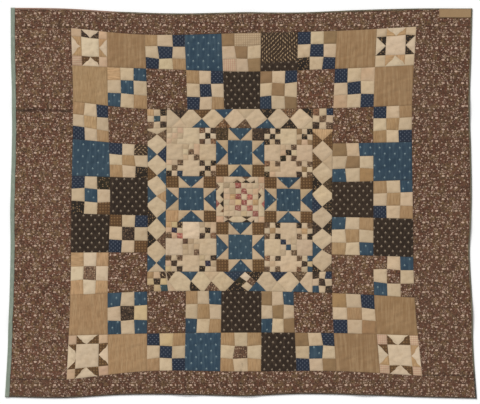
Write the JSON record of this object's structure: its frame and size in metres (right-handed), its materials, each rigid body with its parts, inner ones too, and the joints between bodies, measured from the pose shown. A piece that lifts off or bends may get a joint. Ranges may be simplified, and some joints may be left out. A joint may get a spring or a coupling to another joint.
{
  "type": "nine-patch quilt",
  "caption": "Patchwork bed quilt lying flat: a pieced star medallion in a ring of nine-patch blocks, with calico borders and bound edges.",
  "frame": {"origin": "middle of the quilt's outline, on the surface it lies on", "axes": "+X across the quilt to its right-hand side, +Y up to its top edge, +Z out of its face"},
  "size_m": [2.357, 1.9528, 0.0127],
  "materials": {
    "ring_cotton": "matt pieced cotton: plain tan, cream, navy, blue and brown printed patches, softly puffed between the seams",
    "cream_cotton": "matt unbleached cotton with small patches of brown, navy and pink prints",
    "blue_print": "matt indigo cotton with a small pale sprig",
    "red_print": "matt cream cotton with small faded red printed squares",
    "brown_calico": "matt madder brown cotton printed all over with small pale blossoms",
    "verdigris_binding": "matt faded grey-green cotton, worn along the fold",
    "dark_binding": "matt dark cotton, worn along the fold",
    "tan_strip": "matt tan cotton twill"
  },
  "bodies": {
    "root": {"block_row_1": "ring_cotton", "block_row_2": "ring_cotton", "block_row_8": "ring_cotton", "block_row_9": "ring_cotton", "block_pair_left_3": "ring_cotton", "block_pair_right_3": "ring_cotton", "block_pair_left_4": "ring_cotton", "block_pair_right_4": "ring_cotton", "block_pair_left_5": "ring_cotton", "block_pair_right_5": "ring_cotton", "block_pair_left_6": "ring_cotton", "block_pair_right_6": "ring_cotton", "block_pair_left_7": "ring_cotton", "block_pair_right_7": "ring_cotton", "double_nine_patch_nw": "cream_cotton", "double_nine_patch_ne": "cream_cotton", "double_nine_patch_sw": "cream_cotton", "double_nine_patch_se": "cream_cotton", "diamond_strip_top": "cream_cotton", "diamond_strip_foot": "cream_cotton", "diamond_strip_left": "cream_cotton", "diamond_strip_right": "cream_cotton", "frame_nine_patch_nw": "cream_cotton", "frame_nine_patch_ne": "cream_cotton", "frame_nine_patch_sw": "cream_cotton", "frame_nine_patch_se": "cream_cotton", "star_north": "blue_print", "star_west": "blue_print", "star_east": "blue_print", "star_south": "blue_print", "centre_block": "red_print", "border_left": "brown_calico", "border_right": "brown_calico", "border_top": "brown_calico", "border_foot": "brown_calico", "binding_left": "verdigris_binding", "binding_right": "dark_binding", "binding_top": "dark_binding", "binding_foot": "dark_binding", "corner_strip": "tan_strip"}
  },
  "joints": []
}
